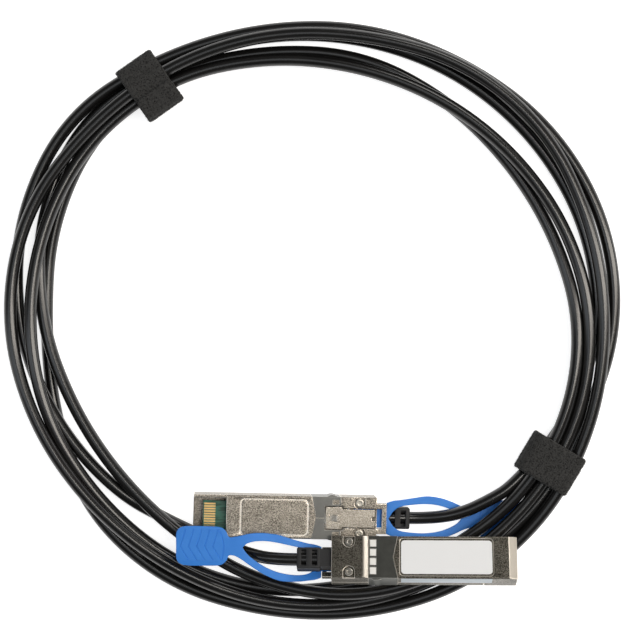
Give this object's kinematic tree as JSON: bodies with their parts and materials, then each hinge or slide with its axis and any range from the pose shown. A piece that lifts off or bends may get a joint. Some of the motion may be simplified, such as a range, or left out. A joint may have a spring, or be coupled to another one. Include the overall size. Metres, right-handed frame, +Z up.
{
  "type": "direct attach copper cable",
  "caption": "Coiled black twinax network cable with a pluggable metal transceiver-style housing, sprung latch and blue pull tab at each end, tied with hook-and-loop straps.",
  "frame": {"origin": "on the table under the middle of the two plugs with their pull tabs", "axes": "+X along the plugs, towards the nose of plug B; +Y across the table towards the coil; +Z up"},
  "size_m": [0.1973, 0.1915, 0.0214],
  "materials": {
    "die_casting": "nickel-plated zinc casting with a fine sand texture",
    "screw_steel": "plain plated steel",
    "collar_steel": "smooth spring sheet",
    "board_green": "solder mask",
    "contact_gold": "gold plating",
    "chip_black": "moulded package",
    "core_insulation": "smooth insulation",
    "clamp_copper": "crimped sleeve",
    "cable_jacket": "smooth black jacket, semi-gloss",
    "boot_rubber": "moulded, matte",
    "lever_steel": "stamped and tumbled",
    "spring_steel": "spring strip",
    "tab_blue": "soft moulded plastic, satin",
    "label_white": "printed-label stock, left bare",
    "strip_pale": "marking strip, left bare",
    "strap_fabric": "hook-and-loop band"
  },
  "bodies": {
    "cable": {"upper_shell_a": "die_casting", "lower_shell_a": "die_casting", "screws_a": "screw_steel", "spring_collar_a": "collar_steel", "circuit_board_a": "board_green", "contact_pads_a": "contact_gold", "memory_chip_a": "chip_black", "signal_cores_a": "core_insulation", "cable_clamp_a": "clamp_copper", "cable_root_a": "cable_jacket", "strain_relief_a": "boot_rubber", "latch_pin_a": "screw_steel", "latch_spring_a": "spring_steel", "upper_shell_b": "die_casting", "lower_shell_b": "die_casting", "screws_b": "screw_steel", "spring_collar_b": "collar_steel", "circuit_board_b": "board_green", "contact_pads_b": "contact_gold", "memory_chip_b": "chip_black", "signal_cores_b": "core_insulation", "cable_clamp_b": "clamp_copper", "cable_root_b": "cable_jacket", "strain_relief_b": "boot_rubber", "latch_pin_b": "screw_steel", "latch_spring_b": "spring_steel", "face_label_b": "label_white", "side_label_b": "strip_pale", "cable_coil": "cable_jacket", "cable_tube_a": "cable_jacket", "cable_tube_b": "cable_jacket", "tie_strap_a": "strap_fabric", "tie_strap_b": "strap_fabric"},
    "tab_a": {"pull_tab_a": "tab_blue"},
    "lever_a": {"latch_lever_a": "lever_steel"},
    "tab_b": {"pull_tab_b": "tab_blue"},
    "lever_b": {"latch_lever_b": "lever_steel"}
  },
  "joints": [
    {"name": "pull_a", "type": "slide", "parent": "cable", "child": "tab_a", "axis": [0.9971, -0.0261, -0.0715], "range_m": [0, 0.0025], "stiffness_N_per_m": 200},
    {"name": "latch_a", "type": "hinge", "parent": "cable", "child": "lever_a", "pos_m": [-0.00175, 0.0063, 0.00863], "axis": [-0.0262, -0.9997, 0], "range_deg": [0, 8.05], "deforming": ["latch_spring_a"]},
    {"name": "pull_b", "type": "slide", "parent": "cable", "child": "tab_b", "axis": [-0.9994, 0, -0.0349], "range_m": [0, 0.0025], "stiffness_N_per_m": 200},
    {"name": "latch_b", "type": "hinge", "parent": "cable", "child": "lever_b", "pos_m": [0.00224, -0.0078, 0.01022], "axis": [-0.0136, -0.9205, 0.3905], "range_deg": [0, 8.05], "deforming": ["latch_spring_b"]}
  ],
  "couplings": [
    {"joint": "latch_a", "follows": "pull_a", "rad_per_m": 55.85},
    {"joint": "latch_b", "follows": "pull_b", "rad_per_m": 55.85}
  ]
}
